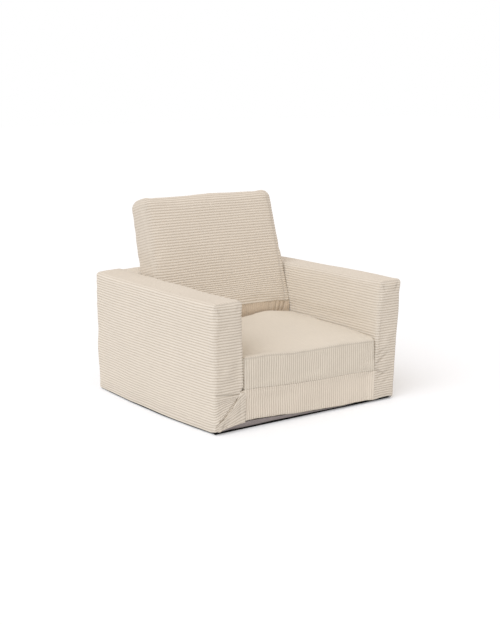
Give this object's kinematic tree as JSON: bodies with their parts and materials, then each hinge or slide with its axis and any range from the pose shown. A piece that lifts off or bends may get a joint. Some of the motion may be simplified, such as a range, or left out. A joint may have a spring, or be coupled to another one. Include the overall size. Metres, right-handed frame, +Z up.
{
  "type": "foldable childrens armchair",
  "caption": "Low foam armchair for a child in ribbed corduroy covers, with a seat cushion that turns over forwards and a backrest that unfolds behind it into a lounger.",
  "frame": {"origin": "on the floor, under the middle of the chair's width and depth", "axes": "+X to the right as seen from the front, +Y to the rear, +Z up"},
  "size_m": [0.5602, 0.528, 0.4951],
  "materials": {
    "corduroy": "matte",
    "foam": "matte",
    "lining": "matte",
    "tape": "matte",
    "coil": "satin",
    "slider_metal": "satin"
  },
  "bodies": {
    "frame": {"arm_cover_left": "corduroy", "arm_cover_right": "corduroy", "back_wall_cover": "corduroy", "base_cover": "corduroy", "ledge_cover": "corduroy", "arm_foam_left": "foam", "arm_foam_right": "foam", "back_wall_foam": "foam", "base_foam": "foam", "ledge_foam": "foam", "bottom_lining": "lining", "base_hinge_tape": "tape", "frame_zip_tape": "tape", "frame_zip_coil": "coil"},
    "seat": {"seat_cover": "corduroy", "seat_foam": "foam", "seat_front_welt": "corduroy", "seat_hinge_tape": "tape", "seat_zip_tape": "tape", "seat_zip_coil": "coil"},
    "gusset": {"backrest_gusset": "corduroy"},
    "backrest": {"backrest_cover": "corduroy", "backrest_foam": "foam", "backrest_zip_tape": "tape", "backrest_zip_coil": "coil"},
    "frame_slider": {"frame_zip_slider": "slider_metal"},
    "seat_slider": {"seat_zip_slider": "slider_metal"},
    "backrest_slider": {"backrest_zip_slider": "slider_metal"}
  },
  "joints": [
    {"name": "seat_flip", "type": "hinge", "parent": "frame", "child": "seat", "pos_m": [0, -0.264, 0.09105], "axis": [1, 0, 0], "range_deg": [0, 180]},
    {"name": "backrest_unfold", "type": "hinge", "parent": "seat", "child": "gusset", "pos_m": [0, 0.06735, 0.1591], "axis": [1, 0, 0], "range_deg": [-74.2, 0]},
    {"name": "backrest_fold", "type": "hinge", "parent": "gusset", "child": "backrest", "pos_m": [0, 0.0641, 0.19665], "axis": [1, 0, 0], "range_deg": [0, 105]},
    {"name": "frame_zip_slide", "type": "slide", "parent": "frame", "child": "frame_slider", "axis": [-1, 0, 0], "range_m": [0, 0.3208]},
    {"name": "seat_zip_slide", "type": "slide", "parent": "seat", "child": "seat_slider", "axis": [-1, 0, 0], "range_m": [0, 0.3208]},
    {"name": "backrest_zip_slide", "type": "slide", "parent": "backrest", "child": "backrest_slider", "axis": [1, 0, 0], "range_m": [0, 0.3208]}
  ],
  "couplings": [
    {"joint": "backrest_unfold", "follows": "seat_flip", "ratio": -0.41222}
  ]
}
